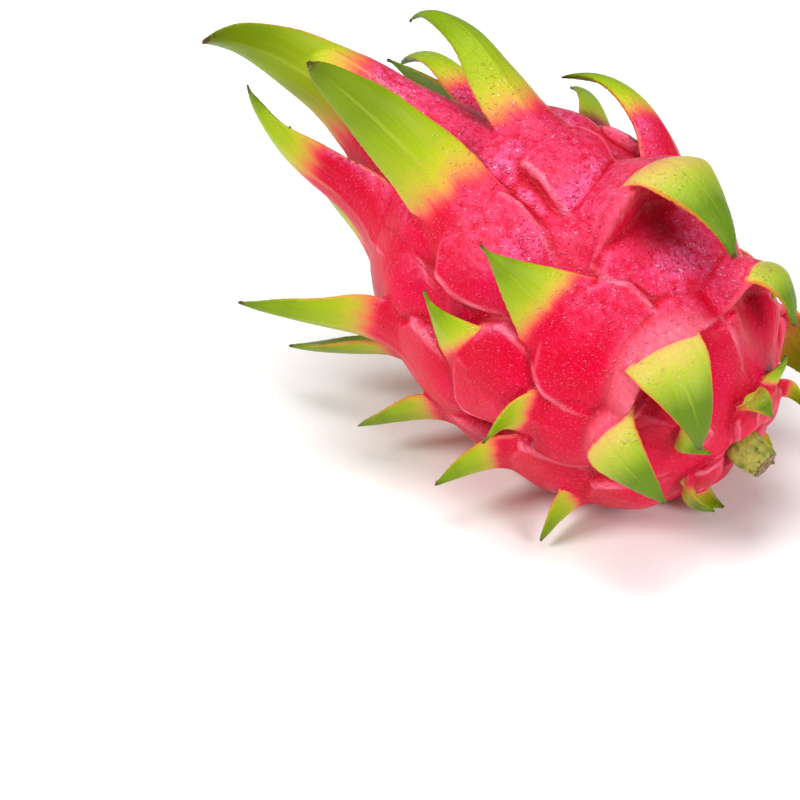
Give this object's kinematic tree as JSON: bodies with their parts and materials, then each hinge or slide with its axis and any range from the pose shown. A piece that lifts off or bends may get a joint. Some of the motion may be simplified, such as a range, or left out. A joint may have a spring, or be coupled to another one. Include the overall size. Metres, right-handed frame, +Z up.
{
  "type": "dragon fruit",
  "caption": "Whole red-skinned dragon fruit lying on its side, with swollen peel tiles, hooked scales near the cut stem and long green-tipped scales round the crown",
  "frame": {"origin": "on the flat spot that the fruit rests on, in the plane of the table", "axes": "+Z is up; the fruit's own axis lies in the XZ plane, with the cut stem towards +X and low, and the leafy crown towards -X and raised by 21 degrees; +Y is the far side seen with the crown on the left"},
  "size_m": [0.1605, 0.1183, 0.1161],
  "materials": {
    "peel": "waxy satin peel, crimson with pale worn ridges, each scale turning through orange and yellow to green",
    "stem": "fresh matt green-yellow stem flesh with a browned cut end",
    "scar": "dry matt brown, papery"
  },
  "bodies": {
    "root": {"fruit": "peel", "stem_stub": "stem", "flower_scar": "scar"}
  },
  "joints": []
}
